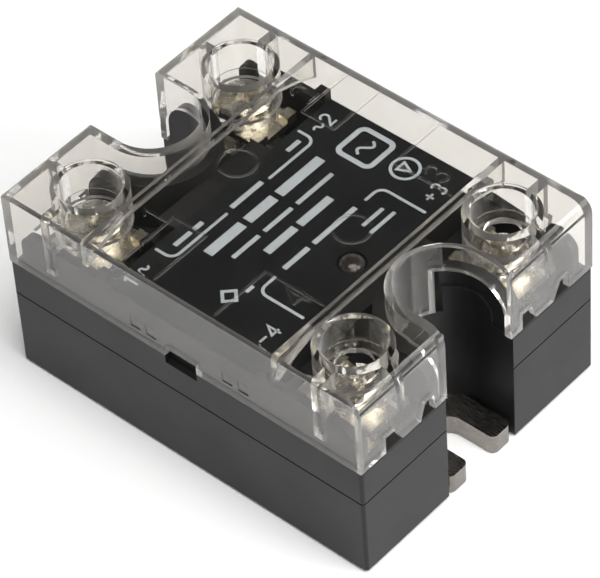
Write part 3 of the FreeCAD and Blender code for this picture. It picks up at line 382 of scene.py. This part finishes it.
# Strokes of each sign in a cell one unit high, x to the right and y up.
SIGNS = {
    "1": [[(-0.18, 0.8), (0.06, 1.0), (0.06, 0.0)]],
    "2": [arc((0.0, 0.72), 0.28, 170, -35) + [(-0.28, 0.0), (0.3, 0.0)]],
    "3": [arc((0.0, 0.75), 0.25, 150, -90), arc((0.0, 0.25), 0.25, 90, -150)],
    "4": [[(0.14, 0.0), (0.14, 1.0), (-0.3, 0.3), (0.32, 0.3)]],
    "+": [[(-0.3, 0.5), (0.3, 0.5)], [(0.0, 0.2), (0.0, 0.8)]],
    "-": [[(-0.3, 0.5), (0.3, 0.5)]],
    "~": [arc((-0.17, 0.48), 0.17, 180, 0) + arc((0.17, 0.48), 0.17, -180, 0)[1:]],
}
SIGN_HEIGHT = 2.1
SIGN_PITCH = 0.85
SIGN_WIDTH = 0.32

# Terminal numbers with their signs: the text, its middle in x and its start in y.
TERMINAL_MARKS = (
    ("1~", -10.6, -18.6),
    ("~2", -10.2, 15.8),
    ("+3", 9.2, 14.8),
    ("-4", 9.0, -16.6),
)

# Bars where lines of words would be: middle in x, width, and the runs along Y.
CAPTIONS = (
    (-9.2, 0.75, ((-2.0, 3.8),)),
    (-10.3, 0.7, ((-11.4, -8.4), (-7.8, -6.2))),
    (-10.4, 0.7, ((10.0, 12.4),)),
    (-6.1, 1.5, ((-9.9, -3.4), (-2.5, 2.6), (3.5, 11.6))),
    (-3.15, 0.65, ((-8.5, -3.6), (-2.6, 2.6), (3.6, 10.4))),
    (-0.5, 1.2, ((-5.2, 0.2), (1.0, 7.0))),
    (3.1, 0.75, ((-6.0, -1.4), (-0.4, 7.6))),
    (5.9, 0.55, ((5.7, 9.6),)),
    (7.5, 0.55, ((5.3, 10.0),)),
)
DIAMOND_CAPTION = (2.1, 0.5, ((-11.9, -10.6),))

# Brackets: the line's x, which way its legs go, and where they end in x; then for each
# half its side, the edge of the gap, and the leg's y.
BRACKETS = (
    (-8.9, -1, -11.8, ((-1, -3.1, -13.3), (1, 4.8, 13.7))),
    (3.2, 1, 10.6, ((-1, -7.7, -10.9), (1, 9.3, 12.3))),
)
BRACKET_WIDTH = 0.42
BRACKET_BEND = 1.3


def bracket(line_x, outward, leg_end, halves):
    """Line that joins two terminals, with round corners and a gap where its caption stands."""
    start = 90 * (1 + outward)
    strokes = []
    for side, gap_edge, leg_y in halves:
        centre = (line_x + outward * BRACKET_BEND, leg_y - side * BRACKET_BEND)
        turn = arc(centre, BRACKET_BEND, start, start - outward * side * 90)
        strokes.append(Stroke([(line_x, gap_edge)] + turn + [(leg_end, leg_y)], BRACKET_WIDTH))
    return strokes


def bars(x_middle, width, runs):
    """Plain bars along Y."""
    return [Stroke([(x_middle, low), (x_middle, high)], width) for low, high in runs]


def written(text, x_middle, y_start):
    """Signs laid along +Y, their tops towards -X."""
    strokes = []
    for place, sign in enumerate(text):
        y_middle = y_start + place * SIGN_HEIGHT * SIGN_PITCH
        for path in SIGNS[sign]:
            spots = [(x_middle - (up - 0.5) * SIGN_HEIGHT, y_middle + across * SIGN_HEIGHT)
                     for across, up in path]
            strokes.append(Stroke(spots, SIGN_WIDTH))
    return strokes


def symbols():
    """A wave in a rounded square, a triangle in a ring, and a diamond."""
    square_centre = (-2.9, 16.6)
    ring_centre = (3.5, 16.8)
    return [
        Stroke(rounded_square(square_centre, 2.7, 0.9), 0.75, True),
        Stroke(wave_points(square_centre), 0.4),
        Stroke(ring(ring_centre, 1.9), 0.42, True),
        Stroke([(4.4, 16.8), (2.7, 16.0), (2.7, 17.6)], 0.35, True),
        Stroke([(0.9, -14.9), (2.1, -13.7), (0.9, -12.5), (-0.3, -13.7)], 0.45, True),
    ]


def label_strokes():
    """Everything printed on the label, in millimetres."""
    strokes = []
    for line in BRACKETS:
        strokes += bracket(*line)
    for caption in CAPTIONS:
        strokes += bars(*caption)
    for mark in TERMINAL_MARKS:
        strokes += written(*mark)
    return strokes + symbols() + bars(*DIAMOND_CAPTION)


# ------------------------------------------------------------------------------------- label print

PRINT_THICKNESS = 0.02 * MM

# Least cosine at a bend, so that a sharp corner doesn't grow a long spike.
SHARPEST_MITRE = 0.35


def stroke_sides(path, width, closed):
    """The two points beside each point of a path, half a width away."""
    last = len(path) - 1
    sides = []
    for index, here in enumerate(path):
        before = path[index - 1] if index or closed else None
        after = path[(index + 1) % len(path)] if index < last or closed else None
        runs = [(far - near).normalized() for near, far in ((before, here), (here, after))
                if near is not None and far is not None]
        normals = [Vector((-run.y, run.x)) for run in runs]
        normal = sum(normals, Vector((0, 0))).normalized()
        reach = width / 2 / max(normal.dot(normals[0]), SHARPEST_MITRE)
        sides.append((here + normal * reach, here - normal * reach))
    return sides


def ribbon(mesh, stroke, low, high):
    """Add a stroke to a mesh as a closed bar between two levels."""
    path = [Vector((x_mm * MM, y_mm * MM)) for x_mm, y_mm in stroke.path]
    sections = []
    for left, right in stroke_sides(path, stroke.width * MM, stroke.closed):
        corners = ((left, low), (right, low), (right, high), (left, high))
        sections.append([mesh.verts.new((*spot, level)) for spot, level in corners])
    following = sections[1:] + sections[:1] if stroke.closed else sections[1:]
    for near, far in zip(sections, following):
        for corner in range(4):
            after = (corner + 1) % 4
            mesh.faces.new((near[corner], near[after], far[after], far[corner]))
    if not stroke.closed:
        mesh.faces.new(reversed(sections[0]))
        mesh.faces.new(sections[-1])


def place_mesh(name, mesh, material):
    """Object of the scene from a built mesh."""
    data = bpy.data.meshes.new(name)
    mesh.to_mesh(data)
    mesh.free()
    piece = bpy.data.objects.new(name, data)
    bpy.context.collection.objects.link(piece)
    piece.data.materials.append(material)
    return piece


def make_print(materials):
    """The label's print as one thin mesh on the film."""
    film_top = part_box("label")[1].z
    mesh = bmesh.new()
    for stroke in label_strokes():
        ribbon(mesh, stroke, film_top, film_top + PRINT_THICKNESS)
    bmesh.ops.recalc_face_normals(mesh, faces=mesh.faces)
    piece = place_mesh("label_print", mesh, materials["ink"])
    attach(piece, "case")


# ----------------------------------------------------------------------------------------- setting

FLOOR_HALF = 3.0
FLOOR_GAP = 0.2 * MM

# Strength of the sky low down and overhead, and the heights between which it fades.
SKY_STRENGTHS = (0.75, 0.06)
SKY_FADE = (0.15, 0.6)

# Lamps: the direction they shine from, distance and size in metres, power in watts.
LAMPS = {
    "overhead": ((0.35, -0.15, 1.0), 0.9, (0.7, 0.7), 8.4),
    "end": ((1.0, 0.15, 0.45), 0.7, (0.4, 0.5), 2.4),
    "far_side": ((0.72, 0.5, 0.49), 0.8, (0.3, 0.3), 1.6),
}


def pale_floor():
    """Matt off-white of the floor."""
    material, tree, shader = new_material("pale_floor")
    shader.inputs["Roughness"].default_value = 0.9
    shader.inputs["Specular IOR Level"].default_value = 0.1
    tone = noise(tree, object_space(tree), 3.0, 2.0)
    colour = blend_colour(tree, tone, (0.94, 0.94, 0.94, 1), (0.96, 0.96, 0.96, 1))
    tree.links.new(colour, shader.inputs["Base Color"])
    return material


def make_floor():
    """Plain floor just under the baseplate."""
    mesh = bmesh.new()
    bmesh.ops.create_grid(mesh, x_segments=2, y_segments=2, size=FLOOR_HALF)
    floor = place_mesh("floor", mesh, pale_floor())
    floor.location.z = cad_box[0][2] - FLOOR_GAP


def soft_light(name, direction, distance, size, power):
    """Area lamp that looks at the relay from a direction."""
    lamp = bpy.data.lights.new(name, "AREA")
    lamp.shape = "RECTANGLE"
    lamp.size, lamp.size_y = size
    lamp.energy = power
    holder = bpy.data.objects.new(name, lamp)
    aim = Vector(direction).normalized()
    holder.location = AIM + aim * distance
    holder.rotation_euler = aim.to_track_quat("Z", "Y").to_euler()
    bpy.context.collection.objects.link(holder)


def make_sky():
    """White near the horizon and dim overhead, like a sweep in a dark studio."""
    world = bpy.data.worlds.new("studio")
    world.use_nodes = True
    tree = world.node_tree
    coordinates = add(tree, "ShaderNodeTexCoord")
    split = add(tree, "ShaderNodeSeparateXYZ")
    tree.links.new(coordinates.outputs["Generated"], split.inputs["Vector"])
    strength = spread(tree, split.outputs["Z"], *SKY_STRENGTHS, *SKY_FADE, fade="SMOOTHSTEP")
    background = tree.nodes["Background"]
    background.inputs["Color"].default_value = (1, 1, 1, 1)
    tree.links.new(strength, background.inputs["Strength"])
    bpy.context.scene.world = world


def make_lamps():
    """A soft box overhead, one beside the control end and one beyond its far corner."""
    for name, setting in LAMPS.items():
        soft_light(name, *setting)


def make_camera():
    """Long lens at the photograph's angle, with its slight roll."""
    azimuth, elevation, roll = (math.radians(value) for value in (AZIMUTH, ELEVATION, ROLL))
    back = Vector((math.sin(azimuth) * math.cos(elevation),
                   -math.cos(azimuth) * math.cos(elevation), math.sin(elevation)))
    right = Vector((0, 0, 1)).cross(back).normalized()
    up = back.cross(right)
    right_rolled = math.cos(roll) * right + math.sin(roll) * up
    up_rolled = -math.sin(roll) * right + math.cos(roll) * up
    lens = bpy.data.cameras.new("camera")
    lens.lens = LENS
    lens.sensor_width = SENSOR_WIDTH
    lens.clip_end = FARTHEST_SEEN
    camera = bpy.data.objects.new("camera", lens)
    turn = Matrix((right_rolled, up_rolled, back)).transposed().to_4x4()
    camera.matrix_world = Matrix.Translation(AIM + back * DISTANCE) @ turn
    bpy.context.collection.objects.link(camera)
    bpy.context.scene.camera = camera


def set_light_paths():
    """Plain colours, and enough bounces for light to pass the stacked clear walls."""
    scene = bpy.context.scene
    scene.view_settings.view_transform = "Standard"
    scene.cycles.transparent_max_bounces = 24
    scene.cycles.transmission_bounces = 16
    scene.cycles.max_bounces = 20


set_light_paths()
make_camera()
make_sky()
make_lamps()
make_floor()
palette = make_materials()
dress_nodes(palette)
make_print(palette)
